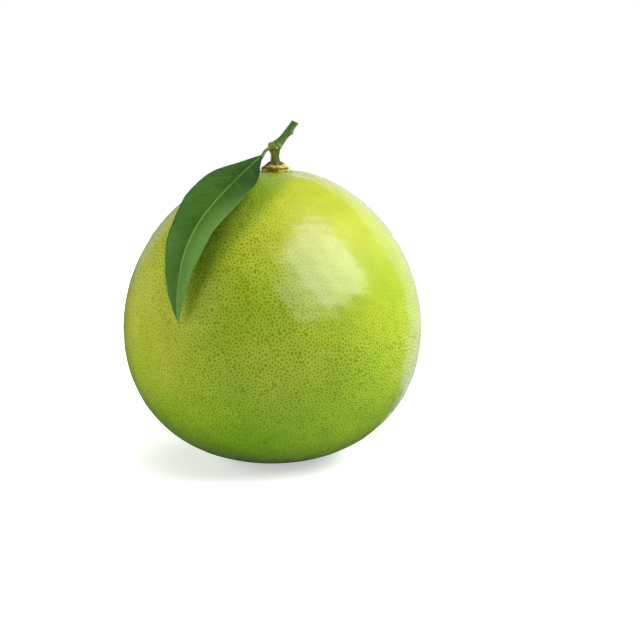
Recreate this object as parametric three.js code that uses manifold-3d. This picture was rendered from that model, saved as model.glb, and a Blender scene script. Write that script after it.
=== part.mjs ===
// A whole pomelo as picked: the fruit, its woody calyx, a short green twig and one leaf on its stalk.
// Millimetres, +Z up. The origin is the centre of the flat spot on which the fruit rests, and -Y is its front.
import * as THREE from "three";
import { mergeVertices } from "three/addons/utils/BufferGeometryUtils.js";
import Module from "manifold-3d";

const wasm = await Module();
wasm.setup();

const RAD = Math.PI / 180;
const CLEAR = 0.3; // gap between two pieces that grow together

const fruit = {
  radius: 78, // half of the widest diameter
  equator: 71, // height of the widest section
  crown: 83, // from the widest section up to the stem end
  crownPower: 1.92, // below 2 the shoulders fall away a little, as on a pear
  base: 71.5, // from the widest section down to where a full base would end
  basePower: 2.2, // above 2 the base is fuller than an ellipse
  flatRadius: 11.5, // the flat spot that it rests on
  scarRadius: 3.6, // the blossom scar, a dimple inside the flat spot
  scarDepth: 1.1,
  dip: 2.0, // the stem end is set in by this much
  dipRadius: 13,
  furrows: 9, // soft furrows that run out from the calyx
  furrowDepth: 0.45,
  furrowRadius: 15,
  furrowSpread: 9,
  segments: 72,
  baseRows: 16,
  crownRows: 24,
  crownSpacing: 1.5, // above 1 the rows lie closer together towards the stem end
};

const stemFoot = { x: 1.7, y: 0 }; // the twig stands a little off the fruit's axis

const calyx = {
  radius: 6.0, // between the lobes
  lobe: 1.6, // how much further the longest lobe reaches
  lobes: 5,
  firstLobe: -6 * RAD, // direction of that lobe
  hub: 3.55, // thickness under the twig
  hubEdge: 0.5, // share of the radius at which it starts to thin
  rim: 1.1, // thickness at the rim
  lift: 0.35, // how far the lobes curl up off the rind
  segments: 60,
};

const twig = {
  // Centreline from the calyx through the leaf node to the cut end.
  line: [
    [1.8, 0.0, 156.2],
    [1.8, 0.0, 159.3],
    [1.9, 0.0, 162.4],
    [2.6, 0.1, 165.1],
    [5.3, 0.4, 168.2],
    [8.0, 0.9, 171.7],
    [10.2, 1.3, 174.6],
    [12.2, 1.7, 177.2],
  ],
  radii: [2.7, 2.15, 2.35, 2.6, 1.95, 1.75, 1.75, 1.8], // at those points
  ridge: 0.04, // share of the radius by which its three blunt ridges stand out
  sides: 18,
  steps: 32,
};

// What swells out of the twig: centre, half sizes along its own axes, and the lean of the long axis from vertical.
const swellings = [
  { at: [0.9, -0.5, 164.9], size: [2.0, 2.0, 2.2], lean: -40 * RAD }, // cushion that bears the leaf stalk
  { at: [3.5, -2.0, 164.7], size: [1.05, 0.95, 1.4], lean: 22 * RAD }, // bud in the leaf's axil
  { at: [10.4, 0.8, 172.3], size: [1.4, 1.4, 2.2], lean: 38 * RAD }, // old leaf scar near the cut end
];

const stalk = {
  foot: [-1.75, -1.45, 163.85], // on the cushion
  bend: [-3.3, -4.4, 162.8],
  footRadius: 0.95,
  radius: 0.78,
  sides: 12,
  steps: 12,
};

const leaf = {
  start: 10.6, // the blade begins this far from the twig's axis
  height: 160.7,
  heading: 49.2 * RAD, // direction that it grows in, from -X towards -Y
  swing: 18.1 * RAD, // how far that direction swings from base to tip
  swingPower: 1.33,
  sway: 2.2 * RAD, // a slight S bend on top of the swing
  sways: 1.6,
  slope: 26.9 * RAD, // fall of the midrib at the base
  droop: 80.3 * RAD, // and how much steeper it is at the tip
  droopPower: 2.8,
  length: 112.9,
  // Half the blade's width at shares of its length.
  shares: [0, 0.08, 0.19, 0.33, 0.5, 0.7, 0.88, 1],
  halfWidths: [0.75, 5.9, 13.0, 16.3, 13.9, 9.6, 4.4, 0.3],
  fold: 8.2 * RAD, // each half rises by this from the midrib at the base
  foldMore: 4.9 * RAD, // and by this much more at the tip
  roll: 9.5 * RAD, // turn about the midrib at the base
  rollBack: 7.4 * RAD, // how far that turn is undone by the tip
  cup: 0.8, // the middle of each half sags by this
  wave: 0.3, // of the margin
  waves: 4.5,
  thickness: 0.7,
  rib: 0.9, // the midrib stands out below by this
  ribRadius: 1.5,
  rows: 52,
  columns: 12,
};

const COLOURS = {
  rind: { color: 0xa3b82f, roughness: 0.42 },
  calyx: { color: 0x8f7a3c, roughness: 0.8 },
  twig: { color: 0x4f7a32, roughness: 0.6 },
  stalk: { color: 0x6d9438, roughness: 0.55 },
  leaf: { color: 0x3f7a35, roughness: 0.45 },
};

const bell = (x) => Math.exp(-x * x);
const lerp = THREE.MathUtils.lerp;
const smooth = THREE.MathUtils.smoothstep;

// A geometry with one vertex per place, each moved by place(vertex).
function shaped(geometry, place) {
  geometry.deleteAttribute("normal");
  geometry.deleteAttribute("uv");
  const merged = mergeVertices(geometry, 1e-5);
  const position = merged.getAttribute("position");
  const point = new THREE.Vector3();
  for (let i = 0; i < position.count; i += 1) {
    place(point.fromBufferAttribute(position, i));
    position.setXYZ(i, point.x, point.y, point.z);
  }
  return merged;
}

function solidOf(geometry) {
  return new wasm.Manifold(
    new wasm.Mesh({
      numProp: 3,
      vertProperties: geometry.getAttribute("position").array,
      triVerts: new Uint32Array(geometry.index.array),
    }),
  );
}

function geometryOf(solid) {
  const mesh = solid.getMesh();
  return new THREE.BufferGeometry()
    .setAttribute("position", new THREE.BufferAttribute(mesh.vertProperties, 3))
    .setIndex(new THREE.BufferAttribute(mesh.triVerts, 1));
}

function meshOf(name, geometry, look) {
  geometry.computeVertexNormals();
  const material = new THREE.MeshStandardMaterial({ ...look, metalness: 0 });
  const mesh = new THREE.Mesh(geometry, material);
  mesh.name = name;
  return mesh;
}

// ---- fruit ----

// The outline at an angle from the stem end, as (radius, height).
function outline(angle) {
  const up = Math.cos(angle) > 0;
  const power = up ? fruit.crownPower : fruit.basePower;
  const reach = up ? fruit.crown : -fruit.base;
  return new THREE.Vector2(
    fruit.radius * Math.sin(angle) ** (2 / power),
    fruit.equator + reach * Math.abs(Math.cos(angle)) ** (2 / power),
  );
}

// How far the stem end lies below the plain outline, at a distance and direction from the axis.
function setIn(r, turn) {
  const furrow = 0.5 + 0.5 * Math.cos(fruit.furrows * turn + 0.8 * Math.sin(2 * turn));
  return (
    fruit.dip * bell(r / fruit.dipRadius) +
    fruit.furrowDepth * furrow * bell((r - fruit.furrowRadius) / fruit.furrowSpread)
  );
}

// The slight unevenness of the girth, as a share of the radius.
function girth(turn) {
  return 1 + 0.003 * Math.cos(2 * turn - 0.9) + 0.0025 * Math.cos(3 * turn + 1.2) + 0.001 * Math.cos(7 * turn);
}

function rindPlace(point) {
  const turn = Math.atan2(point.y, point.x);
  const r = Math.hypot(point.x, point.y);
  const wide = girth(turn);
  if (point.z > fruit.equator) point.z -= setIn(r, turn);
  point.x *= wide;
  point.y *= wide;
}

// Height of the rind near the stem end.
function rindHeight(x, y) {
  const turn = Math.atan2(y, x);
  const r = Math.hypot(x, y) / girth(turn);
  const share = (r / fruit.radius) ** fruit.crownPower;
  return fruit.equator + fruit.crown * (1 - share) ** (1 / fruit.crownPower) - setIn(r, turn);
}

function makeFruit() {
  const profile = [
    new THREE.Vector2(0, fruit.scarDepth),
    new THREE.Vector2(fruit.scarRadius * 0.6, fruit.scarDepth * 0.75),
    new THREE.Vector2(fruit.scarRadius, 0),
    new THREE.Vector2(fruit.flatRadius, 0),
  ];
  const baseAngle = Math.asin((fruit.flatRadius / fruit.radius) ** (fruit.basePower / 2));
  for (let i = 1; i <= fruit.baseRows; i += 1)
    profile.push(outline(lerp(Math.PI - baseAngle, Math.PI / 2, i / fruit.baseRows)));
  for (let i = fruit.crownRows - 1; i > 0; i -= 1)
    profile.push(outline((Math.PI / 2) * (i / fruit.crownRows) ** fruit.crownSpacing));
  profile.push(new THREE.Vector2(0, fruit.equator + fruit.crown));
  const turned = new THREE.LatheGeometry(profile, fruit.segments).rotateX(Math.PI / 2);
  return meshOf("fruit", shaped(turned, rindPlace), COLOURS.rind);
}

// ---- calyx ----

// Reach of the calyx in a direction: one long lobe, four shorter ones.
function calyxReach(turn) {
  const from = turn - calyx.firstLobe;
  const lobe = (0.5 + 0.5 * Math.cos(calyx.lobes * from)) ** 2;
  const long = 0.62 + 0.38 * bell(Math.sin(from / 2) / 0.35);
  return calyx.radius + calyx.lobe * lobe * long + 0.25 * Math.sin(2 * turn + 0.7);
}

// point holds a unit disc: x and y run out to 1, and z is 0 on its underside and 1 on its top.
function calyxPlace(point) {
  const turn = Math.atan2(point.y, point.x);
  const out = Math.hypot(point.x, point.y);
  const reach = calyxReach(turn);
  const x = stemFoot.x + out * reach * Math.cos(turn);
  const y = stemFoot.y + out * reach * Math.sin(turn);
  const lift = calyx.lift * out ** 3 * (0.5 + 0.5 * Math.sin(3 * turn + 0.5));
  const thick = lerp(calyx.hub, calyx.rim, smooth(out, calyx.hubEdge, 1));
  point.set(x, y, rindHeight(x, y) + CLEAR + lift + thick * point.z);
}

function makeCalyx() {
  const across = [0, 0.4, 0.62, 0.82, 1];
  const profile = [
    ...across.map((out) => new THREE.Vector2(out, 0)),
    ...across.toReversed().map((out) => new THREE.Vector2(out, 1)),
  ];
  const disc = new THREE.LatheGeometry(profile, calyx.segments).rotateX(Math.PI / 2);
  return meshOf("calyx", shaped(disc, calyxPlace), COLOURS.calyx);
}

// ---- rods that follow a line ----

// A closed rod round a line, with radius(along, turn), where along runs from 0 to 1.
function rod(line, radius, sides, steps) {
  const curve = new THREE.CatmullRomCurve3(line.map((p) => new THREE.Vector3(...p)));
  const side = new THREE.Vector3();
  const up = new THREE.Vector3();
  const bar = new THREE.CylinderGeometry(1, 1, 1, sides, steps).rotateX(Math.PI / 2);
  return shaped(bar, (point) => {
    const along = point.z + 0.5;
    const turn = Math.atan2(point.y, point.x);
    const r = Math.hypot(point.x, point.y) * radius(along, turn);
    const tangent = curve.getTangent(along);
    side.set(0, 1, 0).cross(tangent).normalize();
    up.crossVectors(tangent, side);
    point
      .copy(curve.getPoint(along))
      .addScaledVector(side, r * Math.cos(turn))
      .addScaledVector(up, r * Math.sin(turn));
  });
}

// The value at a share of a list, run smoothly from one entry to the next.
function runOf(values, along) {
  const place = along * (values.length - 1);
  const i = Math.min(Math.floor(place), values.length - 2);
  return lerp(values[i], values[i + 1], smooth(place - i, 0, 1));
}

function swelling({ at, size, lean }) {
  const ball = new THREE.SphereGeometry(1, 16, 10).scale(...size).rotateY(lean);
  return shaped(ball.translate(...at), () => {});
}

function twigRadius(along, turn) {
  return runOf(twig.radii, along) * (1 + twig.ridge * Math.cos(3 * turn + 4 * along));
}

function makeTwig() {
  let solid = solidOf(rod(twig.line, twigRadius, twig.sides, twig.steps));
  for (const bump of swellings) solid = solid.add(solidOf(swelling(bump)));
  return meshOf("twig", geometryOf(solid), COLOURS.twig);
}

// ---- leaf ----

const halfWidthAt = new THREE.CubicInterpolant(leaf.shares, leaf.halfWidths, 1);

// The blade's midrib, worked out step by step: where it is and how it is turned at each row.
function midrib() {
  const stations = [];
  const at = new THREE.Vector3(
    stemFoot.x - leaf.start * Math.cos(leaf.heading),
    stemFoot.y - leaf.start * Math.sin(leaf.heading),
    leaf.height,
  );
  for (let i = 0; i <= leaf.rows; i += 1) {
    const share = i / leaf.rows;
    const sway = leaf.sway * Math.sin(2 * Math.PI * leaf.sways * share);
    const heading = leaf.heading + leaf.swing * share ** leaf.swingPower + sway;
    const slope = leaf.slope + leaf.droop * share ** leaf.droopPower;
    const along = new THREE.Vector3(
      -Math.cos(heading) * Math.cos(slope),
      -Math.sin(heading) * Math.cos(slope),
      -Math.sin(slope),
    );
    if (i > 0) at.addScaledVector(along, leaf.length / leaf.rows);
    const side = new THREE.Vector3(-Math.sin(heading), Math.cos(heading), 0);
    const [half] = halfWidthAt.evaluate(share);
    stations.push({ share, half, at: at.clone(), along, side, face: side.clone().cross(along) });
  }
  return stations;
}

// A place on the blade's upper face, with across from -1 to 1.
function bladePoint({ share, half, at, side, face }, across) {
  const sign = Math.sign(across);
  const rise = leaf.fold + leaf.foldMore * share + sign * (leaf.roll - leaf.rollBack * share);
  const out = half * Math.abs(across);
  const sag = leaf.cup * (half / Math.max(...leaf.halfWidths)) * Math.sin(Math.PI * Math.abs(across));
  const ripple = Math.sin(Math.PI * share) * Math.sin(2 * Math.PI * leaf.waves * share + 2 * sign);
  return at
    .clone()
    .addScaledVector(side, sign * out * Math.cos(rise))
    .addScaledVector(face, out * Math.sin(rise) - sag + leaf.wave * across ** 2 * ripple);
}

// How thick the blade is: even, with the midrib standing out below.
function bladeThickness({ share, half }, across) {
  return leaf.thickness + leaf.rib * (1 - share) * bell((half * across) / leaf.ribRadius);
}

function makeBlade() {
  const stations = midrib();
  const wide = leaf.columns + 1;
  const upper = [];
  const lower = [];
  for (const station of stations)
    for (let j = 0; j < wide; j += 1) {
      const even = (2 * j) / leaf.columns - 1;
      const across = Math.sign(even) * Math.abs(even) ** 1.6; // closer together near the midrib
      const top = bladePoint(station, across);
      upper.push(top);
      lower.push(top.clone().addScaledVector(station.face, -bladeThickness(station, across)));
    }
  const under = upper.length;
  const faces = [];
  const quad = (a, b, c, d) => faces.push(a, b, c, a, c, d);
  for (let i = 0; i < leaf.rows; i += 1)
    for (let j = 0; j < leaf.columns; j += 1) {
      const a = i * wide + j;
      quad(a, a + 1, a + wide + 1, a + wide);
      faces.push(under + a, under + a + wide + 1, under + a + 1);
      faces.push(under + a, under + a + wide, under + a + wide + 1);
    }
  for (let i = 0; i < leaf.rows; i += 1) {
    const right = i * wide;
    const left = right + leaf.columns;
    quad(right, right + wide, under + right + wide, under + right);
    quad(left, under + left, under + left + wide, left + wide);
  }
  for (let j = 0; j < leaf.columns; j += 1) {
    const tip = leaf.rows * wide + j;
    quad(j, under + j, under + j + 1, j + 1);
    quad(tip, tip + 1, under + tip + 1, under + tip);
  }
  const geometry = new THREE.BufferGeometry().setFromPoints([...upper, ...lower]).setIndex(faces);
  return meshOf("leaf_blade", geometry, COLOURS.leaf);
}

// The stalk runs from the twig's cushion to just short of the blade.
function makeStalk() {
  const [base] = midrib();
  const end = base.at.clone().addScaledVector(base.face, -stalk.radius).addScaledVector(base.along, -CLEAR);
  const body = rod([stalk.foot, stalk.bend, end.toArray()], stalkRadius, stalk.sides, stalk.steps);
  return meshOf("leaf_stalk", body, COLOURS.stalk);
}

function stalkRadius(along) {
  return lerp(stalk.footRadius, stalk.radius, smooth(along, 0, 0.4));
}

const pomelo = new THREE.Group();
pomelo.add(makeFruit(), makeCalyx(), makeTwig(), makeStalk(), makeBlade());

export default pomelo;
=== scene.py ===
"""A whole pomelo with its calyx, twig and one leaf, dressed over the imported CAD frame.

The pieces are worked out in millimetres in the frame's own axes: +Z up, -Y towards the viewer, and the origin
at the centre of the flat spot on which the fruit rests. Materials, lamps and the camera are in metres.
"""

import math

import bpy
import mathutils
import numpy as np
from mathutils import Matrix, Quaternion, Vector


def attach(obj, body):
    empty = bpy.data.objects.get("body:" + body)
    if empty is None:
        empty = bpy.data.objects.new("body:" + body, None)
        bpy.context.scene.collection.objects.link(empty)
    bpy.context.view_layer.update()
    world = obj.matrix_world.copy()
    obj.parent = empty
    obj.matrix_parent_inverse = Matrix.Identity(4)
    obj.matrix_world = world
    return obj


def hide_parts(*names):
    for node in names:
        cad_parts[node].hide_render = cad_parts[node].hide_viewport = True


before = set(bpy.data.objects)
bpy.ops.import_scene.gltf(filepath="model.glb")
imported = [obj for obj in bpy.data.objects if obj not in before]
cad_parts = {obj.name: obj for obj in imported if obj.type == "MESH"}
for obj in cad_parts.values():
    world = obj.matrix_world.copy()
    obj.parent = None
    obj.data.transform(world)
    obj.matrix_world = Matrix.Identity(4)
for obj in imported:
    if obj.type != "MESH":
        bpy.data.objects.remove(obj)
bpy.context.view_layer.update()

MM = 0.001
TAU = math.tau
rng = np.random.default_rng(20)  # sphere_points draws from it first, then make_fruit


# ---------------------------------------------------------------- small numbers and curves


def bell(x):
    """1 at 0, falling to 0 on either side."""
    return np.exp(-np.square(x))


def smooth(x, low, high):
    """0 at low and before it, 1 at high and past it, and a smooth step between. low may be the greater."""
    t = np.clip((x - low) / (high - low), 0, 1)
    return t * t * (3 - 2 * t)


def lerp(a, b, t):
    return a + (b - a) * t


def unit(v):
    return v / np.linalg.norm(v, axis=-1, keepdims=True)


def xyz(x, y, z):
    """Points from their coordinates, which spread over one another as numpy does."""
    return np.stack(np.broadcast_arrays(x, y, z), -1)


def all_round(count):
    """Evenly spread angles, once round."""
    return np.arange(count) * TAU / count


def turn_from(turn, degrees):
    """How far round each angle is from a direction, from minus to plus half a turn."""
    return np.angle(np.exp(1j * (turn - math.radians(degrees))))


def length_along(points):
    """How far along a line of points each one lies."""
    return np.concatenate([[0], np.cumsum(np.linalg.norm(np.diff(points, axis=0), axis=1))])


def spline(xs, ys, x):
    """A smooth curve through the points (xs, ys), where ys may be rows of several numbers."""
    xs, ys, x = np.asarray(xs, float), np.asarray(ys, float), np.asarray(x, float)
    wide = (slice(None),) + (None,) * (ys.ndim - 1)
    step = np.diff(xs)
    secant = np.diff(ys, axis=0) / step[wide]
    slope = np.concatenate([secant[:1], (secant[:-1] + secant[1:]) / 2, secant[-1:]])
    i = np.clip(np.searchsorted(xs, x, side="right") - 1, 0, len(xs) - 2)
    t, h = ((x - xs[i]) / step[i])[wide], step[i][wide]
    return (
        (1 + 2 * t) * (1 - t) ** 2 * ys[i]
        + t * (1 - t) ** 2 * h * slope[i]
        + t * t * (3 - 2 * t) * ys[i + 1]
        + t * t * (t - 1) * h * slope[i + 1]
    )


# Soft random ups and downs: their height, about how many millimetres long they are, a seed, and how many
# waves they are made of. Heights are in millimetres, but for the pits, sepals and fibres they are shares.
RIPPLES = {
    "pits": (0.25, 22, 3, 5),
    "rind": (0.10, 9, 5, 5),
    "calyx outline": (0.34, 3.1, 11, 5),
    "calyx teeth": (0.20, 1.1, 12, 5),
    "calyx rim": (0.36, 4.0, 13, 5),
    "calyx wrinkles": (0.15, 0.9, 14, 5),
    "calyx face": (0.06, 0.9, 15, 5),
    "sepals": (0.03, 1.6, 16, 5),
    "twig": (0.05, 2.4, 21, 5),
    "fibres": (0.35, 2.0, 22, 7),
    "fine fibres": (0.175, 0.9, 23, 7),
    "leaf margin": (0.13, 5.5, 31, 5),
    "leaf face": (0.03, 5.0, 33, 5),
}


def ripple(points, name):
    """How high a ripple of the table stands at each point."""
    height, scale, seed, waves = RIPPLES[name]
    draw = np.random.default_rng(seed)
    total = 0
    for _ in range(waves):
        way = draw.normal(size=3)
        way *= TAU / (scale * np.linalg.norm(way)) * draw.uniform(0.6, 1.4)
        total = total + np.sin(points @ way + draw.uniform(0, TAU))
    return height * (total / math.sqrt(waves * 2))


# ---------------------------------------------------------------- meshes


def make_piece(name, points, faces, node, material, attributes):
    """A smooth mesh piece in place of a CAD node, from points in millimetres. Each attribute has a number for
    every point, or spreads over them as numpy does."""
    mesh = bpy.data.meshes.new(name)
    mesh.from_pydata((points.reshape(-1, 3) * MM).tolist(), [], faces)
    for key, values in attributes.items():
        layer = mesh.attributes.new(key, "FLOAT", "POINT")
        layer.data.foreach_set("value", np.broadcast_to(values, points.shape[:-1]).ravel().astype(np.float32))
    mesh.polygons.foreach_set("use_smooth", np.ones(len(mesh.polygons), bool))
    mesh.update()
    mesh.materials.append(material)
    piece = bpy.data.objects.new(name, mesh)
    bpy.context.scene.collection.objects.link(piece)
    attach(piece, "root")
    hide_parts(node)


def grid_faces(rows, columns, wrap=False, start=0, flip=False):
    """Quads of a grid of rows by columns points, closed on itself across the columns if it wraps."""
    wide = columns if wrap else columns - 1
    row, column = np.meshgrid(np.arange(rows - 1), np.arange(wide), indexing="ij")
    beside = (column + 1) % columns
    here, above = row * columns, (row + 1) * columns
    quads = np.stack([here + column, here + beside, above + beside, above + column], -1)
    quads = quads.reshape(-1, 4) + start
    return quads[:, ::-1] if flip else quads


def closed_tube(rows, columns, flip=False):
    """Faces of a tube of rows rings of columns points, with one more face over either end."""
    first = list(range(columns))
    last = [k + (rows - 1) * columns for k in first]
    ends = [first, last[::-1]] if flip else [first[::-1], last]
    return grid_faces(rows, columns, wrap=True, flip=flip).tolist() + ends


# ---------------------------------------------------------------- fruit

FRUIT = {
    "radius": 78.0,  # half of the widest diameter
    "equator": 71.0,  # height of the widest section
    "crown": 83.0,  # from there up to the stem end
    "crown_power": 1.92,
    "base": 71.5,  # from there down to where a full base would end
    "base_power": 2.2,
    "scar_radius": 3.8,  # the blossom scar in the flat spot
    "scar_slope": 1.6,
    "scar_depth": 1.1,
    "dip": 2.0,  # the stem end is set in by this much
    "dip_radius": 13.0,
    "furrows": 9,
    "furrow_depth": 0.45,
    "furrow_radius": 15.0,
    "furrow_spread": 9.0,
    "pits_begin": (0.3, 4.0),  # the heights between which the pits set in, above the smooth flat spot
    "ripples_begin": (1.0, 9.0),
}
# How the fruit departs from round: bulges round it, height as a share of the radius, and shift.
BULGES = [(2, 0.003, -0.9), (3, 0.0025, 1.2), (7, 0.001, 0.0)]
GLANDS = {
    "count": 23500,
    "depth": 0.085,  # of the pit over an oil gland
    "strength": (0.6, 1.0),  # how much each gland shows
    "joined": 0.06,  # the share of the places between glands where the dots run into one another
    "joined_strength": 0.4,
}
# The glands start on an even spiral, are jittered, and then push their neighbours away for a few rounds.
# Lengths are in mean spacings.
SCATTER = {"jitter": 0.42, "rounds": 3, "neighbours": 6, "reach": 1.15, "push": 0.35}
# The mesh ends in a small ring round the middle of the base, at this height on the unit sphere.
POLE_RING = {"points": 18, "height": -0.9996, "clear": 0.0003}
# The leaf's painted shadow on the rind: how softly it ends, in millimetres, at the blade's foot and from a
# share of the blade's length onwards. It is worked out at one row of the blade in every few.
SHADE = {"foot": 14.5, "further": 6.0, "from": 0.75, "every": 8}


def sphere_points(count):
    """Points spread over a unit sphere, evenly but in no visible order."""
    i = np.arange(count) + 0.5
    z = 1 - 2 * i / count
    turn = i * math.pi * (3 - math.sqrt(5))
    r = np.sqrt(1 - z * z)
    points = xyz(r * np.cos(turn), r * np.sin(turn), z)
    spacing = math.sqrt(4 * math.pi / count)
    points = unit(points + rng.normal(size=points.shape) * SCATTER["jitter"] * spacing)
    for _ in range(SCATTER["rounds"]):
        tree = mathutils.kdtree.KDTree(count)
        for k, point in enumerate(points):
            tree.insert(point, k)
        tree.balance()
        found = [tree.find_n(point, SCATTER["neighbours"] + 1) for point in points]
        near = np.array([[k for _, k, _ in row[1:]] for row in found])
        away = points[:, None] - points[near]
        gap = np.linalg.norm(away, axis=-1, keepdims=True)
        push = (away / gap * np.clip(SCATTER["reach"] * spacing - gap, 0, None)).sum(1)
        points = unit(points + SCATTER["push"] * push)
    return points


def sphere_triangles(points):
    """Outward triangles between points on a unit sphere, made on their map as seen from its south pole."""
    flat = [Vector((x / (1 + z), y / (1 + z))) for x, y, z in points]
    triangles = np.array(mathutils.geometry.delaunay_2d_cdt(flat, [], [], 0, 1e-9)[2])
    a, b, c = points[triangles].transpose(1, 0, 2)
    inward = np.einsum("ij,ij->i", np.cross(b - a, c - a), a + b + c) < 0
    triangles[inward] = triangles[inward][:, ::-1]
    return triangles


def rind_mesh():
    """The directions and faces of the rind, and how many of the directions are glands. These come first, then
    the middles of the triangles between them, and the south pole is last."""
    glands = sphere_points(GLANDS["count"])
    height = POLE_RING["height"]
    glands = glands[glands[:, 2] > height + POLE_RING["clear"]]
    turn = all_round(POLE_RING["points"])
    r = math.sqrt(1 - height**2)
    glands = np.concatenate([glands, xyz(r * np.cos(turn), r * np.sin(turn), height)])
    triangles = sphere_triangles(glands)
    middles = unit(glands[triangles].mean(1))
    # Each edge between two glands becomes two faces, one from either gland to the middles of the triangles on
    # both sides of the edge.
    sides = np.concatenate([triangles[:, [0, 1]], triangles[:, [1, 2]], triangles[:, [2, 0]]])
    owner = np.tile(np.arange(len(triangles)), 3)
    found = {(a, b): k for (a, b), k in zip(sides.tolist(), owner.tolist())}
    count = len(glands)
    pole = count + len(triangles)
    faces = []
    for (a, b), k in found.items():
        other = found.get((b, a))
        if other is None:  # on the ring round the pole
            faces.append((a, b, count + k))
            faces.append((b, a, pole))
        else:
            faces.append((a, count + other, count + k))
    return np.concatenate([glands, middles, [(0, 0, -1)]]), faces, count


def rind_at(way):
    """The smooth rind in a direction from the middle of the fruit, and its outward normal."""
    f = FRUIT
    up = way[:, 2] > 0
    power = np.where(up, f["crown_power"], f["base_power"])
    reach = np.where(up, f["crown"], f["base"])
    turn = np.arctan2(way[:, 1], way[:, 0])
    r = f["radius"] * np.hypot(way[:, 0], way[:, 1]) ** (2 / power)
    rise = reach * np.abs(way[:, 2]) ** (2 / power)
    steep = (rise / reach) ** (power - 1) / reach * np.where(up, 1, -1)
    wide = (r / f["radius"]) ** (power - 1) / f["radius"]
    normal = unit(xyz(wide * np.cos(turn), wide * np.sin(turn), steep))
    scar = f["scar_depth"] * smooth(f["scar_radius"] - r, 0, f["scar_slope"])
    z = np.where(up, f["equator"] + rise - set_in(r, turn), np.maximum(f["equator"] - rise, scar))
    girth = girth_at(turn)
    return xyz(r * girth * np.cos(turn), r * girth * np.sin(turn), z), normal


def set_in(r, turn):
    """How much lower the rind lies near the stem for its dip and furrows."""
    f = FRUIT
    furrow = 0.5 + 0.5 * np.cos(f["furrows"] * turn + 0.8 * np.sin(2 * turn))
    dip = f["dip"] * bell(r / f["dip_radius"])
    return dip + f["furrow_depth"] * furrow * bell((r - f["furrow_radius"]) / f["furrow_spread"])


def girth_at(turn):
    return 1 + sum(height * np.cos(bulges * turn + shift) for bulges, height, shift in BULGES)


def rind_height(x, y):
    """Height of the smooth rind near the stem end."""
    f = FRUIT
    turn = np.arctan2(y, x)
    r = np.hypot(x, y) / girth_at(turn)
    share = (r / f["radius"]) ** f["crown_power"]
    return f["equator"] + f["crown"] * (1 - share) ** (1 / f["crown_power"]) - set_in(r, turn)


def paint_leaf_shadow(place, ribs):
    """1 where the leaf's shadow is painted on the rind, falling to 0 beyond the leaf's edge."""
    leaf_shadow = np.zeros(len(place))
    for k in range(0, len(ribs["at"]), SHADE["every"]):
        share = ribs["share"][k]
        beyond = np.linalg.norm(place - ribs["at"][k], axis=1) - ribs["half"][k]
        spread = lerp(SHADE["foot"], SHADE["further"], min(1.0, share / SHADE["from"]))
        here = bell((np.maximum(beyond, 0) / spread) ** 2)
        leaf_shadow = np.maximum(leaf_shadow, (1 - share**3) * here)
    return leaf_shadow


def make_fruit(material, ribs):
    way, faces, count = rind_mesh()
    place, normal = rind_at(way)
    strength = np.zeros(len(way))
    strength[:count] = rng.uniform(*GLANDS["strength"], count)
    joined = rng.uniform(size=len(way) - count - 1) < GLANDS["joined"]
    strength[count:-1] = GLANDS["joined_strength"] * joined
    height = place[:, 2]
    pit = GLANDS["depth"] * strength * (1 + ripple(place, "pits")) * smooth(height, *FRUIT["pits_begin"])
    uneven = ripple(place, "rind") * smooth(height, *FRUIT["ripples_begin"])
    place = place + normal * (uneven - pit)[:, None]
    attributes = {"gland": strength, "leaf_shadow": paint_leaf_shadow(place, ribs)}
    make_piece("pomelo_fruit", place, faces, "fruit", material, attributes)


# ---------------------------------------------------------------- calyx

STEM_FOOT = np.array([1.7, 0.0])  # the twig stands a little off the fruit's axis
CALYX = {
    "radius": 6.0,  # between the lobes
    "lobe": 1.6,  # how much further the longest lobe reaches
    "lobes": 5,
    "first_lobe": math.radians(-6),
    "first_spread": 0.35,
    "other_lobes": 0.62,  # their share of the first lobe's length
    "left_lobe": 1.0,  # how much further the broad blunt lobe on the left reaches
    "left_droop": 0.8,
    "skew": 0.25,
    "sepals_long": 0.16,  # share of the reach that the lower sepals add where they show
    "sepals_short": 0.08,  # share that they fall short by elsewhere
    "turns": 200,
    "steps": 72,
    "hole": 0.002,  # share of the reach at which the section stops at either end, where a tiny face closes it
}
# The section through the calyx, from the middle of its top, out over the rim, and in below. Each point has
# its share of the reach, its millimetres above the foot, and how much it belongs to the rim and to the sepals
# below it.
CALYX_SECTION = [
    (0.00, 4.60, 0.0, 0.0),
    (0.36, 4.70, 0.0, 0.0),
    (0.44, 4.95, 0.0, 0.0),
    (0.52, 4.55, 0.0, 0.0),
    (0.62, 4.00, 0.1, 0.0),
    (0.73, 3.45, 0.5, 0.0),
    (0.86, 3.00, 1.0, 0.0),
    (0.96, 2.70, 1.0, 0.0),
    (1.00, 2.20, 1.0, 0.0),
    (0.97, 1.70, 0.7, 0.0),
    (0.88, 1.40, 0.2, 0.0),
    (0.83, 1.12, 0.0, 0.0),
    (0.84, 0.82, 0.0, 0.3),
    (0.91, 0.55, 0.0, 1.0),
    (0.93, 0.10, 0.0, 1.0),
    (0.80, -0.40, 0.0, 0.3),
    (0.50, -0.75, 0.0, 0.0),
    (0.00, -0.80, 0.0, 0.0),
]


def calyx_reach(turn):
    c = CALYX
    away = turn - c["first_lobe"]
    lobe = (0.5 + 0.5 * np.cos(c["lobes"] * away)) ** 2
    long = lerp(c["other_lobes"], 1, bell(np.sin(away / 2) / c["first_spread"]))
    left = c["left_lobe"] * calyx_left(turn)
    return c["radius"] + c["lobe"] * lobe * long + left + c["skew"] * np.sin(2 * turn + 0.7)


def calyx_left(turn):
    """1 at the broad blunt lobe on the left, falling to 0 on either side of it."""
    return bell(turn_from(turn, 174) / 0.45)


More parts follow.
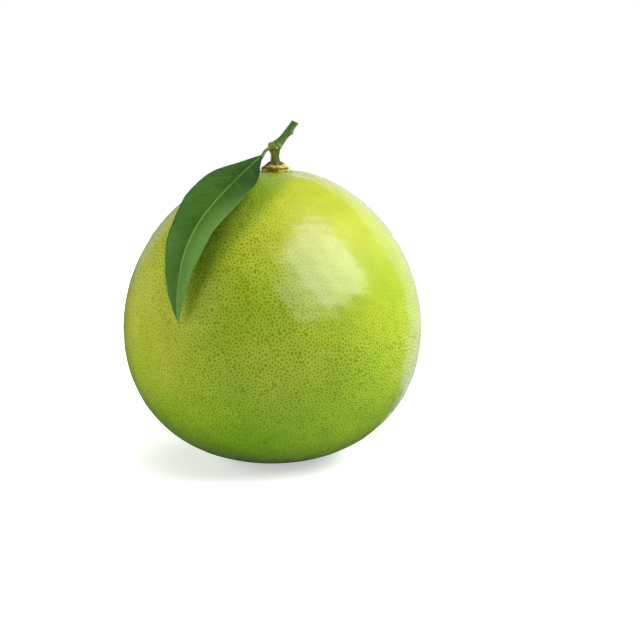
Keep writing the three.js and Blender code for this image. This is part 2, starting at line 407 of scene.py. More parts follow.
def make_calyx(material):
    c = CALYX
    turn = all_round(c["turns"])[None, :]
    knots = np.linspace(0, 1, len(CALYX_SECTION))
    section = spline(knots, CALYX_SECTION, np.linspace(0, 1, c["steps"]))
    out, rise, rim, sepal = section.T[:, :, None]
    out = np.maximum(out, c["hole"])
    outward = xyz(np.cos(turn), np.sin(turn), 0)
    around = 6 * outward
    ragged = ripple(around, "calyx outline") + ripple(around, "calyx teeth")
    reach = calyx_reach(turn) + ragged * smooth(out, 0.55, 1.0)
    # The lower sepals show most at the front right, less on the left, and hardly at all elsewhere.
    shows = bell(turn_from(turn, -38) / 0.9) + 0.5 * bell((turn - 2.9) / 0.5)
    longer = c["sepals_long"] * shows - c["sepals_short"] + ripple(around, "sepals")
    reach = reach * (1 + sepal * longer)
    x = STEM_FOOT[0] + out * reach * np.cos(turn)
    y = STEM_FOOT[1] + out * reach * np.sin(turn)
    edge = ripple(around, "calyx rim") - c["left_droop"] * calyx_left(turn)
    edge = edge * smooth(out, 0.6, 1.0) * smooth(rise, 0.8, 1.8)
    wrinkle = ripple(around, "calyx wrinkles") * smooth(out, 0.2, 0.6) * smooth(rise, 0.0, 1.6)
    points = xyz(x, y, rind_height(x, y) + rise + edge + wrinkle)
    rough = ripple(points, "calyx face") * smooth(out, 0.0, 0.3)
    points = points + rough[..., None] * outward
    # The wood under the rim, painted pale against its shade, and less so at its foot by the rind, as painted
    # shade.
    below = smooth(rise, 1.95, 1.50) * smooth(out, 0.55, 0.75) * lerp(0.5, 1.0, smooth(rise, 0.2, 0.8))
    attributes = {"rim": rim, "sepal": sepal * shows, "below": below}
    faces = closed_tube(c["steps"], c["turns"], flip=True)
    make_piece("calyx_disc", points, faces, "calyx", material, attributes)


# ---------------------------------------------------------------- twig and stalk

TWIG_LINE = [
    (1.7, 0.0, 155.2),
    (1.7, 0.0, 156.2),
    (1.55, 0.0, 159.3),
    (1.7, 0.0, 162.4),
    (2.5, 0.1, 165.1),
    (5.3, 0.4, 168.2),
    (8.0, 0.9, 171.7),
    (10.2, 1.3, 174.6),
    (12.2, 1.7, 177.2),
]
TWIG_RADII = [3.1, 2.75, 2.2, 2.35, 2.6, 2.0, 1.78, 1.75, 1.9]
TWIG_SIDES, TWIG_STEPS = 56, 170
TWIG_RIDGES = {"count": 17, "height": 0.035}
TWIG_THREE_SIDED = 0.045  # share of the radius by which its three faint sides go in and out
TWIG_OLIVE = (12.0, 8.0)  # it turns olive between these, in millimetres along it
# Its fibres are a pattern on a rod of this radius, drawn out along the rod.
FIBRES = {"radius": 2.2, "squeeze": 0.16}
# What swells out of the twig: millimetres along it, direction in degrees (0 is right, -90 is the front),
# height, length and the angle that it spreads over.
SWELLINGS = [
    (8.4, 190, 1.7, 1.6, 44),  # cushion that bears the leaf stalk
    (9.6, 186, 0.8, 0.6, 36),  # the shoulder on top of it
    (8.9, -82, 0.75, 0.9, 24),  # bud in the leaf's axil
    (10.8, -52, 0.45, 0.55, 34),  # the ridge over that bud
    (20.0, -15, 1.0, 1.7, 52),  # old leaf scar
]
# Where its bark is corky, given in the same way, with a strength in place of the height.
CORKY = [
    (8.9, -82, 1.0, 0.8, 22),
    (19.4, -32, 0.6, 1.2, 34),
    (8.4, 194, 0.7, 0.9, 24),
    (11.2, -70, 0.6, 0.7, 38),
]
# The cut end: how far back its lean sets in, its slope, and the side on which it reaches furthest.
CUT = {"length": 2.5, "lean": 0.19, "way": (0.85, 0, -0.5)}
# The rings of the cut face: the share of the way in to its middle, and how far each is sunk.
CUT_RINGS = [(0.04, -0.05), (0.18, 0.02), (0.5, 0.1), (0.8, 0.18), (0.999, 0.2)]
END = 0.999  # an end ring is drawn in by this share, and a tiny face closes it
STALK = {
    "foot": (-0.6, -0.6, 164.1),
    "bend": (-3.3, -4.4, 162.8),
    "rows": (2, 10, 24),  # of the blade, under which it runs on
    "clear": 0.1,  # of the midrib there
    "radius": 0.80,
    "foot_radius": 1.05,
    "foot_ends": (0.5, 4.0),  # millimetres along it
    "taper": (10.0, 17.0),  # it runs out under the blade
    "end": 0.35,  # share of the radius there
    "swelling": (9.0, 0.10, 0.8),  # where the blade begins, with its height and length
    "joint": (1.9, 0.5),  # the brown ring near the twig, and its length
    "groove": 0.16,  # share of the radius
    "ridges": 9,
    "ridge": 0.02,
    "sides": 28,
    "steps": 90,
}


def rod_rings(line, steps, sides, radius):
    """Rings of points round a line, with the middle and direction of each, and how far along the line it is.
    radius(along, turn) gives how far out each point lies."""
    line = np.asarray(line, float)
    fine = spline(np.arange(len(line)), line, np.linspace(0, len(line) - 1, 400))
    run = length_along(fine)
    along = np.linspace(0, run[-1], steps)
    middle = np.stack([np.interp(along, run, fine[:, k]) for k in range(3)], -1)
    tangent = unit(np.gradient(middle, axis=0))
    side = unit(np.cross((0, 1, 0), tangent))
    up = np.cross(tangent, side)
    turn = all_round(sides)[:, None]
    out = np.cos(turn) * side[:, None] + np.sin(turn) * up[:, None]
    r = radius(along[:, None], turn[:, 0])
    return middle[:, None] + out * r[..., None], middle, tangent, along


def drawn_in(ring, share):
    return lerp(ring, ring.mean(0), share)


def twig_radius(along, turn):
    knots = length_along(np.asarray(TWIG_LINE))
    share = along / knots[-1]
    r = spline(knots, TWIG_RADII, np.minimum(along[:, 0], knots[-1]))[:, None]
    r = r * (1 + TWIG_THREE_SIDED * np.cos(3 * turn + 4 * share))
    r = r + TWIG_RIDGES["height"] * np.sin(TWIG_RIDGES["count"] * turn + 3 * np.sin(5 * share))
    for at, way, height, length, angle in SWELLINGS:
        off = turn_from(turn, way) / math.radians(angle)
        r = r + height * bell((along - at) / length) * bell(off)
    return r + ripple(xyz(3 * np.cos(turn), 3 * np.sin(turn), along), "twig")


def make_twig(material):
    rings, middle, tangent, along = rod_rings(TWIG_LINE, TWIG_STEPS, TWIG_SIDES, twig_radius)
    # The cut leans to the left, and its face is a little sunk towards the pith.
    lean = CUT["lean"] * smooth(along, along[-1] - CUT["length"], along[-1])[:, None]
    across = (rings - middle[:, None]) @ np.array(CUT["way"])
    rings = rings + (lean * across)[..., None] * tangent[:, None]
    face = [drawn_in(rings[-1], share) - tangent[-1] * sunk for share, sunk in CUT_RINGS]
    points = np.concatenate([[drawn_in(rings[0], END)], rings, face])
    stem = slice(1, 1 + TWIG_STEPS)
    cut = np.zeros((len(points), 1))
    cut[2 + TWIG_STEPS:] = 1  # from the second ring of the cut face on
    turn = all_round(TWIG_SIDES)
    corky = np.zeros(points.shape[:2])
    for at, way, strength, length, angle in CORKY:
        off = turn_from(turn, way) / math.radians(angle)
        here = strength * bell((along[:, None] - at) / length) * bell(off)
        corky[stem] = np.maximum(corky[stem], here)
    low = np.zeros((len(points), 1))
    low[0] = 1
    low[stem, 0] = smooth(along, *TWIG_OLIVE)
    # Streaks run along the stem.
    r = FIBRES["radius"]
    fibre = xyz(r * np.cos(turn), r * np.sin(turn), FIBRES["squeeze"] * along[:, None])
    streak = np.full(points.shape[:2], 0.5)
    streak[stem] += ripple(fibre, "fibres") + ripple(fibre, "fine fibres")
    attributes = {"cut": cut, "corky": corky, "low": low, "streak": streak}
    faces = closed_tube(len(points), TWIG_SIDES)
    make_piece("twig_stem", points, faces, "twig", material, attributes)


def stalk_radius(along, turn):
    s = STALK
    at, height, length = s["swelling"]
    r = lerp(s["foot_radius"], s["radius"], smooth(along, *s["foot_ends"]))
    r = (r + height * bell((along - at) / length)) * lerp(1, s["end"], smooth(along, *s["taper"]))
    groove = s["groove"] * bell(turn_from(turn, 100) / 0.4)
    return r - groove * s["radius"] + s["ridge"] * np.sin(s["ridges"] * turn + along)


def make_stalk(material, ribs):
    """The leaf stalk, from inside the twig's cushion to under the first stretch of the blade."""
    s = STALK
    under = [ribs["at"][k] - ribs["face"][k] * (s["radius"] + s["clear"]) for k in s["rows"]]
    line = [s["foot"], s["bend"], *under]
    rings, _, _, along = rod_rings(line, s["steps"], s["sides"], stalk_radius)
    points = np.concatenate([[drawn_in(rings[0], END)], rings, [drawn_in(rings[-1], END)]])
    at, length = s["joint"]
    joint = np.zeros((len(points), 1))
    joint[1:-1, 0] = bell((along - at) / length)
    faces = closed_tube(len(points), s["sides"])
    make_piece("leaf_petiole", points, faces, "leaf_stalk", material, {"joint": joint})


# ---------------------------------------------------------------- leaf

LEAF = {
    "start": 10.6,  # the blade begins this far from the twig's axis
    "height": 160.7,
    "heading": math.radians(49.2),  # direction that it grows in, from -X towards -Y
    "swing": math.radians(18.1),
    "swing_power": 1.33,
    "sway": math.radians(2.2),
    "sways": 1.6,
    "slope": math.radians(26.9),
    "droop": math.radians(80.3),
    "droop_power": 2.8,
    "length": 112.9,
    "shares": [0, 0.08, 0.19, 0.33, 0.5, 0.7, 0.88, 1],
    "half_widths": [0.75, 5.9, 13.0, 16.3, 13.9, 9.6, 4.4, 0.3],
    "fold": math.radians(8.2),
    "fold_more": math.radians(4.9),
    "roll": math.radians(9.5),
    "roll_back": math.radians(7.4),
    "cup": 0.8,
    "wave": 0.3,
    "waves": 4.5,
    "thickness": 0.42,
    "edge": 0.06,  # thickness of the margin
    "rib": 0.85,  # how far the midrib stands out below
    "rib_radius": 0.95,
    "groove": 0.22,  # how deep it is sunk above
    "groove_radius": 0.45,
    "shoulder": (1.1, 0.05, 0.6),  # the low swelling beside it: where, how high and how wide
    "vein_groove": 0.05,
    "vein_rib": 0.10,
    "rows": 230,
    "columns": 64,
    "crowding": 1.35,  # of the columns towards the midrib
}
VEINS = {"spacing": 12.5, "lean": 0.50, "curve": 0.020, "stagger": 0.45}


def midrib():
    """The blade's midrib: where it is, and how it is turned, at each row."""
    f = LEAF

    def turned(share):
        sway = f["sway"] * np.sin(TAU * f["sways"] * share)
        heading = f["heading"] + f["swing"] * share ** f["swing_power"] + sway
        slope = f["slope"] + f["droop"] * share ** f["droop_power"]
        along = xyz(-np.cos(heading) * np.cos(slope), -np.sin(heading) * np.cos(slope), -np.sin(slope))
        return along, xyz(-np.sin(heading), np.cos(heading), 0)

    share = np.linspace(0, 1, f["rows"] + 1)
    step = turned((share[1:] + share[:-1]) / 2)[0] * f["length"] / f["rows"]
    way = np.array((math.cos(f["heading"]), math.sin(f["heading"])))
    start = (*(STEM_FOOT - f["start"] * way), f["height"])
    along, side = turned(share)
    return {
        "share": share,
        "half": spline(f["shares"], f["half_widths"], share),
        "at": np.concatenate([[start], step]).cumsum(0),
        "side": side,
        "face": np.cross(side, along),
    }


def vein_phase(run, out, sign):
    """Whole numbers lie on the side veins of one half of the blade. run and out are millimetres along its
    midrib and out from it."""
    v = VEINS
    return (run - v["lean"] * out - v["curve"] * out**2) / v["spacing"] + v["stagger"] * (sign > 0)


def make_blade(material, ribs):
    f = LEAF
    even = np.linspace(-1, 1, f["columns"] + 1)[None, :]
    sign = np.sign(even)
    apart = np.abs(even) ** f["crowding"]  # 0 on the midrib, 1 on the margin
    share, half = ribs["share"][:, None], ribs["half"][:, None]
    ragged = ripple(xyz(100 * share, 40 * sign, 0), "leaf margin")
    ragged = ragged * smooth(share, 0.05, 0.2) * smooth(share, 0.99, 0.9)
    out = half * apart + ragged * smooth(apart, 0.7, 1.0)
    run = share * f["length"]
    rise = f["fold"] + f["fold_more"] * share + sign * (f["roll"] - f["roll_back"] * share)
    sag = f["cup"] * half / max(f["half_widths"]) * np.sin(math.pi * apart)
    waves = np.sin(math.pi * share) * np.sin(TAU * f["waves"] * share + 2 * sign)
    lift = out * np.sin(rise) - sag + f["wave"] * apart**2 * waves
    # The face is sunk along the midrib and the side veins, and a little quilted between them.
    vein = np.maximum(np.cos(TAU * vein_phase(run, out, sign)), 0)  # 1 on a side vein
    fade = smooth(out, 0.6, 2.5) * smooth(apart, 1.0, 0.75) * smooth(share, 0.02, 0.1)
    quilt = ripple(xyz(run, out * sign, 0), "leaf face") - f["vein_groove"] * vein**4 * fade
    at, height, wide = f["shoulder"]
    groove = height * bell((out - at) / wide) - f["groove"] * bell(out / f["groove_radius"])
    groove = groove * smooth(share, 1.0, 0.8)
    # Below, the same veins stand out.
    thick = f["edge"] + 0.9 * f["thickness"] * smooth(1.02 - apart, 0, 0.10)
    rib = f["rib"] * (1 - share) * bell(out / f["rib_radius"]) + f["vein_rib"] * vein**6 * fade

    def placed(height):
        across = ribs["side"][:, None] * (sign * out * np.cos(rise))[..., None]
        return ribs["at"][:, None] + across + ribs["face"][:, None] * height[..., None]

    top = placed(lift + quilt + groove)
    bottom = placed(lift + 0.6 * quilt - thick - rib)
    rows, columns = out.shape
    count = rows * columns
    grid = np.arange(count).reshape(rows, columns)
    loop = np.concatenate([grid[:-1, 0], grid[-1, :-1], grid[:0:-1, -1], grid[0, :0:-1]])
    after = np.roll(loop, -1)
    margin = np.stack([after, after + count, loop + count, loop], -1)
    faces = [grid_faces(rows, columns), grid_faces(rows, columns, start=count, flip=True), margin]
    faces = np.concatenate(faces).tolist()
    attributes = {
        "along": run,
        "across": out * np.where(sign == 0, 1, sign),
        "margin": apart,
        "under": np.array([0.0, 1.0])[:, None, None],
    }
    points = np.stack([top, bottom])
    make_piece("leaf_surface", points, faces, "leaf_blade", material, attributes)


# ---------------------------------------------------------------- materials

# Colours as they are seen, 0 to 255.
COLOURS = {
    "green rind": (132, 176, 34),
    "ripe rind": (194, 201, 66),
    # painted shadow of the leaf on the rind's net
    "painted shadow rind": (116, 152, 40),
    "green dot": (98, 147, 6),
    "ripe dot": (142, 151, 8),
    # painted shadow of the leaf on the rind's dots
    "painted shadow dot": (78, 116, 8),
    "cork": (96, 72, 38),
    "pale cork": (150, 122, 72),
    "brown": (58, 52, 16),
    "pale brown": (116, 106, 44),
    "ochre": (152, 138, 46),
    "pale ochre": (206, 192, 90),
    # painted light on the right of the calyx rim
    "tan": (228, 202, 130),
    # painted light under the calyx rim
    "painted-light wood": (184, 150, 72),
    "palest painted-light wood": (214, 195, 112),
    "sepal": (150, 140, 40),
    "pale sepal": (190, 182, 66),
    "twig": (68, 108, 38),
    "pale twig": (92, 130, 54),
    "olive": (126, 136, 50),
    "brown olive": (156, 142, 66),
    "green olive": (78, 102, 26),
    # painted shade where the twig meets the calyx
    "dark olive": (62, 68, 20),
    "bark": (140, 124, 58),
    "pale bark": (206, 194, 104),
    "cut wood": (112, 134, 66),
    "pale cut wood": (150, 162, 96),
    "pore": (112, 140, 70),
    "stalk": (58, 90, 26),
    "pale stalk": (80, 112, 38),
    "joint": (118, 106, 50),
    "dark blade foot": (32, 62, 8),
    "blade foot": (42, 75, 12),
    "dark blade": (47, 86, 16),
    "blade": (58, 99, 22),
    # painted sheen on the blade
    "painted_sheen": (116, 166, 74),
    "blade tip": (104, 156, 66),
    "fleck": (78, 120, 48),
    "net": (92, 138, 56),
    "side vein": (104, 148, 64),
    "midrib": (122, 166, 62),
    "underside": (104, 140, 66),
    "underside vein": (150, 176, 96),
}
STEM_END = (STEM_FOOT[0] * MM, STEM_FOOT[1] * MM, 0.1525)
CHEEK = (-0.062, -0.045, 0.078)  # the middle of the ripe patch on the left
HIGHLIGHT_SIDE = (0.55, -0.55, 0.63)  # the dots are painted fainter up and to the right, under the highlight: painted highlight
NET_SCALE = 0.55  # cells of the blade's finest veins, to a millimetre


def seen(name):
    """A colour of the table in the linear numbers that a shader takes."""
    shares = [c / 255 for c in COLOURS[name]]
    return (*(c / 12.92 if c <= 0.04045 else ((c + 0.055) / 1.055) ** 2.4 for c in shares), 1.0)


class Nodes:
    """A short way to write the node tree of a material or world. Places are in metres."""

    def __init__(self, owner, shader="Principled BSDF"):
        owner.use_nodes = True
        self.owner = owner
        self.tree = owner.node_tree
        self.shader = self.tree.nodes[shader]
        self.coordinates = self.new("TexCoord").outputs
        self.where = self.coordinates["Object"]

    def new(self, kind, inputs=None, **settings):
        node = self.tree.nodes.new("ShaderNode" + kind)
        for key, value in settings.items():
            setattr(node, key, value)
        for key, value in (inputs or {}).items():
            self.set(node.inputs[key], value)
        return node

    def set(self, socket, value):
        if isinstance(value, bpy.types.NodeSocket):
            self.tree.links.new(value, socket)
        else:
            socket.default_value = value

    def math(self, operation, a, b=0.0, clamp=False):
        return self.new("Math", {0: a, 1: b}, operation=operation, use_clamp=clamp).outputs[0]

    def plus(self, a, b, clamp=False):
        return self.math("ADD", a, b, clamp)

    def times(self, a, b):
        return self.math("MULTIPLY", a, b)

    def measure(self, operation, *vectors):
        """The number that a vector operation gives, such as DISTANCE, LENGTH or DOT_PRODUCT."""
        return self.new("VectorMath", dict(enumerate(vectors)), operation=operation).outputs["Value"]

    def step(self, value, low, high, to_low=0.0, to_high=1.0):
        """to_low at low, to_high at high, and a smooth step between. low may be the greater one."""
        inputs = {"Value": value, "From Min": low, "From Max": high, "To Min": to_low, "To Max": to_high}
        return self.new("MapRange", inputs, interpolation_type="SMOOTHSTEP").outputs[0]

    def noise(self, scale, detail, roughness=0.5):
        """Noise from 0 to 1 whose features are about scale millimetres long."""
        inputs = {"Vector": self.where, "Scale": 1 / (scale * MM), "Detail": detail, "Roughness": roughness}
        return self.new("TexNoise", inputs).outputs["Fac"]

    def uneven(self, scale, detail, height):
        """Noise around 0 that is height from its lowest to its highest."""
        return self.times(self.plus(self.noise(scale, detail), -0.5), height)

    def mix(self, share, a, b, blend="MIX"):
        """The colour that lies that share of the way from a to b."""
        node = self.new("Mix", {0: share, 6: a, 7: b}, data_type="RGBA", blend_type=blend)
        return node.outputs[2]

    def patches(self, scale, detail, low, high, a, b):
        """Patches of two colours of the table, a where noise is below low and b where it is above high."""
        return self.mix(self.step(self.noise(scale, detail), low, high), seen(a), seen(b))

    def between(self, share, a, b):
        """The number that lies that share of the way from a to b."""
        return self.new("Mix", {0: share, 2: a, 3: b}, data_type="FLOAT").outputs[0]

    def attribute(self, name):
        return self.new("Attribute", attribute_name=name).outputs["Fac"]

    def bump(self, height, distance, strength):
        """A bump whose height of 1 is distance millimetres."""
        inputs = {"Height": height, "Distance": distance * MM, "Strength": strength}
        return self.new("Bump", inputs).outputs["Normal"]

    def finish(self, **inputs):
        for key, value in inputs.items():
            self.set(self.shader.inputs[key.replace("_", " ")], value)
        return self.owner


def new_material(name):
    return Nodes(bpy.data.materials.new(name))


def rind_material():
    n = new_material("pomelo rind")
    height = n.new("SeparateXYZ", {"Vector": n.where}).outputs["Z"]
    cheek = n.measure("DISTANCE", n.where, CHEEK)
    # It ripens upwards and on the cheek, in clouds, and stays greener close round the stem.
    ripe = n.plus(n.step(height, 0.005, 0.080, 0, 0.60), n.step(height, 0.090, 0.130, 0, 0.28))
    ripe = n.plus(ripe, n.step(cheek, 0.045, 0.010, 0, 0.25))
    ripe = n.plus(ripe, n.uneven(38, 3, 0.9), clamp=True)
    stem = n.measure("DISTANCE", n.where, STEM_END)
    ripe = n.math("SUBTRACT", ripe, n.step(stem, 0.006, 0.014, 0.35, 0.0), clamp=True)
    # The leaf's shadow is painted on the rind as a darker, greener colour: painted shade.
    leaf_shadow = n.times(n.attribute("leaf_shadow"), 0.72)
    light = n.mix(leaf_shadow, n.mix(ripe, seen("green rind"), seen("ripe rind")), seen("painted shadow rind"))
    dark = n.mix(leaf_shadow, n.mix(ripe, seen("green dot"), seen("ripe dot")), seen("painted shadow dot"))
    # Oil glands show as dark dots which run into one another here and there, in a pale net.
    dot = n.step(n.plus(n.attribute("gland"), n.uneven(2.4, 2, 0.3)), 0.0, 0.66)
    # They are painted fainter up and to the right, where the highlight falls, as painted highlight, and fade
    # on the cheek.
    side = n.measure("DOT_PRODUCT", n.where, HIGHLIGHT_SIDE)
    faint = n.plus(n.step(side, 0.100, 0.121, 0, 0.78), n.step(cheek, 0.050, 0.015, 0, 0.35), clamp=True)
    colour = n.mix(n.between(faint, dot, 0.45), light, dark)
    mottle = n.plus(n.times(n.noise(12, 3, 0.6), 0.3), 0.85)
    colour = n.mix(1.0, colour, mottle, "MULTIPLY")
    # The blossom scar under the base is brown and corky.
    flat = n.new("VectorMath", {0: n.where, 1: (1, 1, 0)}, operation="MULTIPLY").outputs[0]
    middle = n.plus(n.measure("LENGTH", flat), n.uneven(1.6, 3, 0.0022))
    scar = n.times(n.step(middle, 0.0042, 0.0028), n.step(height, 0.004, 0.003))
    colour = n.mix(scar, colour, n.patches(0.6, 4, 0.3, 0.7, "cork", "pale cork"))
    return n.finish(
        Base_Color=colour,
        Roughness=0.4,
        Normal=n.bump(n.noise(0.45, 3), 0.05, 0.25),
        Specular_IOR_Level=0.05,
        Coat_Weight=1.0,
        Coat_Roughness=0.2,
        Coat_IOR=1.5,
        Subsurface_Weight=0.1,
        Subsurface_Radius=(0.004, 0.005, 0.001),
        Subsurface_Scale=0.3,
    )


def calyx_material():
    n = new_material("calyx wood")
    grain = n.noise(0.9, 4, 0.6)
    across = n.new("SeparateXYZ", {"Vector": n.where}).outputs["X"]
    brown = n.mix(n.step(grain, 0.3, 0.7), seen("brown"), seen("pale brown"))
    ochre = n.mix(n.step(grain, 0.35, 0.65), seen("ochre"), seen("pale ochre"))
    # The rim is painted paler tan on its lit right and browner on its shaded left: painted light and shade.
    ochre = n.mix(n.step(across, 0.0045, 0.0085, 0, 0.8), ochre, seen("tan"))
    left_shade = n.step(across, 0.002, -0.003, 0, 0.65)
    rim = n.math("SUBTRACT", n.plus(n.attribute("rim"), n.uneven(2.2, 3, 0.8)), left_shade)
    colour = n.mix(n.step(rim, 0.3, 0.75), brown, ochre)
    # Under the rim the wood is painted pale to offset its shade, palest on the left: painted light.
    raw = n.mix(n.step(across, -0.0050, 0.0), seen("palest painted-light wood"), seen("painted-light wood"))
    colour = n.mix(n.times(n.attribute("below"), n.step(grain, 0.25, 0.6, 0.6, 1.0)), colour, raw)
    sepal = n.mix(grain, seen("sepal"), seen("pale sepal"))
    colour = n.mix(n.step(n.attribute("sepal"), 0.35, 0.8), colour, sepal)
    bump = n.bump(n.noise(0.35, 4), 0.10, 0.5)
    return n.finish(Base_Color=colour, Roughness=0.72, Normal=bump, Specular_IOR_Level=0.3)


def twig_material():
    n = new_material("green twig")
    streak = n.attribute("streak")
    cloud = n.plus(n.noise(2.6, 3), n.times(streak, 0.25))
    green = n.mix(n.step(cloud, 0.42, 0.85), seen("twig"), seen("pale twig"))
    # Below the leaf the stem turns olive, more so on its left, and is painted darker where it meets the
    # calyx: painted shade.
    place = n.new("SeparateXYZ", {"Vector": n.where}).outputs
    olive = n.mix(n.step(streak, 0.3, 0.8), seen("olive"), seen("brown olive"))
    olive = n.mix(n.step(place["X"], 0.0010, 0.0030), olive, seen("green olive"))
    olive = n.mix(n.step(place["Z"], 0.1620, 0.1570, 0, 0.65), olive, seen("dark olive"))
    colour = n.mix(n.attribute("low"), green, olive)
    bark = n.patches(0.7, 3, 0.4, 0.6, "bark", "pale bark")
    colour = n.mix(n.step(n.attribute("corky"), 0.2, 0.9, 0, 0.85), colour, bark)
    colour = n.mix(n.attribute("cut"), colour, n.patches(0.5, 3, 0.35, 0.65, "pale cut wood", "cut wood"))
    pores = n.new("TexVoronoi", {"Vector": n.where, "Scale": 1 / (1.5 * MM)}).outputs["Distance"]
    colour = n.mix(n.step(pores, 0.16, 0.08, 0, 0.2), colour, seen("pore"))
    bump = n.bump(streak, 0.04, 0.4)
    return n.finish(Base_Color=colour, Roughness=0.5, Normal=bump, Specular_IOR_Level=0.35)


def stalk_material():
    n = new_material("leaf stalk")
    green = n.mix(n.noise(2.2, 2), seen("stalk"), seen("pale stalk"))
    colour = n.mix(n.step(n.attribute("joint"), 0.3, 0.9, 0, 0.8), green, seen("joint"))
    bump = n.bump(n.noise(0.8, 2), 0.03, 0.3)
    return n.finish(Base_Color=colour, Roughness=0.5, Normal=bump, Specular_IOR_Level=0.35)


def leaf_material():
    """The attributes "along" and "across" are in millimetres, so the steps on them are too."""
    n = new_material("pomelo leaf")
    run, across = n.attribute("along"), n.attribute("across")
    out = n.math("ABSOLUTE", across)
    # The side veins follow vein_phase, and wander a little away from the midrib.
    bend = n.plus(n.times(out, VEINS["lean"]), n.times(n.times(out, out), VEINS["curve"]))
    phase = n.times(n.math("SUBTRACT", run, bend), 1 / VEINS["spacing"])
    phase = n.plus(phase, n.times(n.math("GREATER_THAN", across, 0.0), VEINS["stagger"]))
    phase = n.plus(phase, n.times(n.uneven(14, 2, 0.35), n.step(out, 1.0, 9.0)))
    off = n.times(n.math("PINGPONG", phase, 0.5), VEINS["spacing"])
    side_vein = n.times(n.step(off, 0.55, 0.12), n.step(n.attribute("margin"), 0.96, 0.6))
    flat = n.new("CombineXYZ", {"X": run, "Y": across}).outputs[0]
    cells = n.new("TexVoronoi", {"Vector": flat, "Scale": NET_SCALE}, feature="DISTANCE_TO_EDGE")
    net = n.step(cells.outputs["Distance"], 0.09, 0.0)
    rib = n.step(out, 0.7, 0.2)
    mottle = n.step(n.noise(9, 4), 0.3, 0.7)
    foot = n.mix(mottle, seen("dark blade foot"), seen("blade foot"))
    blade = n.mix(mottle, seen("dark blade"), seen("blade"))
    green = n.mix(n.step(run, 12, 42), foot, blade)
    # A pale colour over the outer half of the blade, most of all on its right, stands in for its sheen:
    # painted sheen.
    reach = n.plus(n.plus(run, n.times(n.noise(20, 3), 16)), n.times(across, -0.9))
    half = n.plus(n.times(n.math("LESS_THAN", across, 0.0), 0.8), 0.15)
    painted_sheen = n.times(n.times(n.step(reach, 44, 90), half), n.step(out, 0.0, 7.0, 0.55, 1.0))
    green = n.mix(painted_sheen, green, seen("painted_sheen"))
    green = n.mix(n.step(run, 72, 108, 0, 0.4), green, seen("blade tip"))
    green = n.mix(n.step(n.noise(0.8, 2), 0.42, 0.68, 0, 0.25), green, seen("fleck"))
    green = n.mix(n.times(net, 0.05), green, seen("net"))
    green = n.mix(n.times(side_vein, 0.16), green, seen("side vein"))
    green = n.mix(n.times(rib, n.step(run, 25, 70, 0.3, 0.85)), green, seen("midrib"))
    veins = n.times(n.plus(side_vein, rib, clamp=True), 0.6)
    pale = n.mix(veins, seen("underside"), seen("underside vein"))
    colour = n.mix(n.attribute("under"), green, pale)
    relief = n.plus(n.times(net, -0.35), n.times(side_vein, -0.6))
    relief = n.plus(relief, n.times(n.noise(0.5, 2), 0.5))
    bump = n.bump(relief, 0.09, 0.5)
    return n.finish(Base_Color=colour, Roughness=0.48, Normal=bump, Specular_IOR_Level=0.3)


# ---------------------------------------------------------------- floor, light and camera

WHITE = (1, 1, 1, 1)
FLOOR = {
    "radius": 0.95,
    "sides": 64,
    "albedo": 0.77,
    "near": (0.045, 0.50),  # metres from the middle, and how much white the camera sees there
    "far": (0.105, 0.97),
}
WORLD_BEHIND = 0.06  # how bright the room is straight behind the fruit, as a light
LAMP_AIM = (0, 0, 0.08)
LAMP_DISTANCE = 1.2
# Azimuth and elevation in degrees, metres wide and high, watts, what the lamp is for, and degrees that it is
# rolled by. "window" and "gloss" lamps only show as reflections, and "shade" lamps only light the surfaces.
LAMPS = {
    "window": (57, 44, (0.95, 1.08), 13.0, "window", 13),
    "window low": (25, 29, (0.42, 0.66), 1.7, "window", 32),
    "rim": (149.5, 3, (1.2, 1.3), 3.6, "gloss", 0),
    "left rim": (-163, 28, (0.9, 1.3), 1.0, "gloss", 0),
    "right": (75, 33, (0.6, 0.6), 12.8, "shade", 0),
    "right back": (105, 40, (0.6, 0.6), 8.5, "shade", 0),
    "above": (90, 66, (0.6, 0.6), 7.5, "shade", 0),
    "left": (-67, 17, (1.0, 0.8), 8.3, "shade", 0),
    "left back": (-125, 8, (0.5, 0.5), 7.5, "shade", 0),
}
TINTS = {"window": (0.97, 0.92, 1.32), "gloss": (0.92, 0.90, 1.22), "shade": (1, 1, 1)}
FRAME_SIZE = 640  # pixels across and down
CAMERA = {
    "elevation": 10.0,
    "distance": 0.9365,
    "target": (0, 0, 0.071),  # the middle of the fruit
    "pixel": (271.9, 324.75),  # where the target shows in the frame
    "lens": 100.0,
    "sensor": 36.0,
}


def make_stage():
    """A round sheet that is white to the camera, the more so further out, but throws little light back up."""
    turn = all_round(FLOOR["sides"])
    around = FLOOR["radius"] * xyz(np.cos(turn), np.sin(turn), 0)
    mesh = bpy.data.meshes.new("floor")
    mesh.from_pydata(around.tolist(), [], [list(range(FLOOR["sides"]))])
    floor = bpy.data.objects.new("floor", mesh)
    bpy.context.scene.collection.objects.link(floor)
    floor.visible_glossy = False
    n = new_material("floor")
    # The camera alone sees the floor glow white, the more so further out, which pales the fruit's shadow away
    # from it: painted light.
    (near, low), (far, high) = FLOOR["near"], FLOOR["far"]
    white = n.step(n.measure("LENGTH", n.where), near, far, low, high)
    shown = n.times(n.new("LightPath").outputs["Is Camera Ray"], white)
    grey = (FLOOR["albedo"],) * 3 + (1,)
    floor.data.materials.append(
        n.finish(
            Base_Color=grey,
            Roughness=0.9,
            Specular_IOR_Level=0.1,
            Emission_Color=WHITE,
            Emission_Strength=shown,
        )
    )


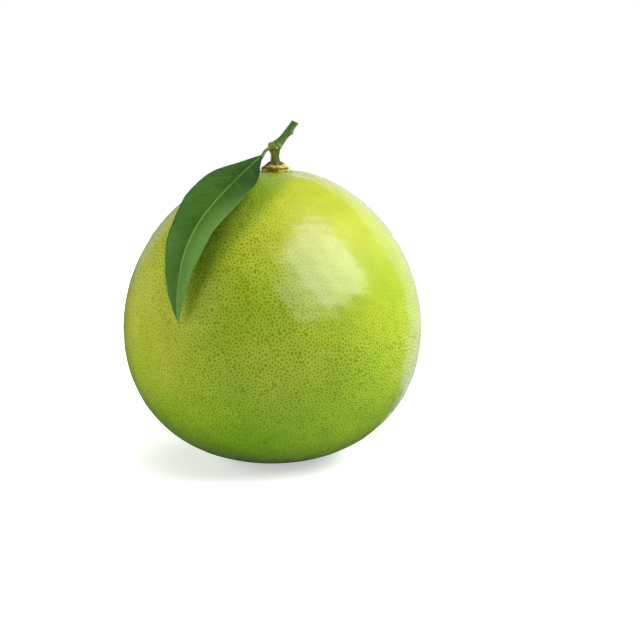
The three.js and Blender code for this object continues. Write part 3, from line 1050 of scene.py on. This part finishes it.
def make_world():
    """White to the camera, and as a light dark in front and a little brighter towards the back."""
    world = bpy.data.worlds.new("studio")
    bpy.context.scene.world = world
    n = Nodes(world, "Background")
    back = n.new("SeparateXYZ", {"Vector": n.coordinates["Generated"]}).outputs["Y"]
    inputs = {"Value": back, "From Min": -1, "From Max": 1, "To Min": 0, "To Max": WORLD_BEHIND}
    light = n.new("MapRange", inputs).outputs[0]
    n.finish(Color=WHITE, Strength=n.between(n.new("LightPath").outputs["Is Camera Ray"], light, 1.0))


def make_lamp(name, azimuth, elevation, size, power, use, roll):
    """A rectangular lamp that faces the fruit. Azimuth 0 is in front of it, and 90 to its right."""
    a, e = math.radians(azimuth), math.radians(elevation)
    way = Vector((math.sin(a) * math.cos(e), -math.cos(a) * math.cos(e), math.sin(e)))
    light = bpy.data.lights.new(name, "AREA")
    light.shape = "RECTANGLE"
    light.size, light.size_y = size
    light.energy = power
    light.color = TINTS[use]
    lamp = bpy.data.objects.new(name, light)
    lamp.location = Vector(LAMP_AIM) + way * LAMP_DISTANCE
    turned = way.to_track_quat("Z", "Y") @ Quaternion((0, 0, 1), math.radians(roll))
    lamp.rotation_euler = turned.to_euler()
    lamp.visible_glossy = use != "shade"
    lamp.visible_diffuse = use == "shade"
    bpy.context.scene.collection.objects.link(lamp)


def make_camera():
    c = CAMERA
    data = bpy.data.cameras.new("camera")
    data.lens, data.sensor_width = c["lens"], c["sensor"]
    camera = bpy.data.objects.new("camera", data)
    bpy.context.scene.collection.objects.link(camera)
    e = math.radians(c["elevation"])
    back = Vector((0, -math.cos(e), math.sin(e)))
    camera.location = Vector(c["target"]) + back * c["distance"]
    focal = FRAME_SIZE * c["lens"] / c["sensor"]  # in pixels
    pan = math.atan((FRAME_SIZE / 2 - c["pixel"][0]) / focal)
    tilt = math.atan((c["pixel"][1] - FRAME_SIZE / 2) / focal)
    camera.rotation_euler = (math.radians(90) - e + tilt, 0, -pan)
    bpy.context.scene.camera = camera


make_stage()
make_world()
make_camera()
for name, lamp in LAMPS.items():
    make_lamp(name, *lamp)
bpy.context.scene.view_settings.view_transform = "Standard"

ribs = midrib()
make_fruit(rind_material(), ribs)
make_calyx(calyx_material())
make_twig(twig_material())
make_stalk(stalk_material(), ribs)
make_blade(leaf_material(), ribs)
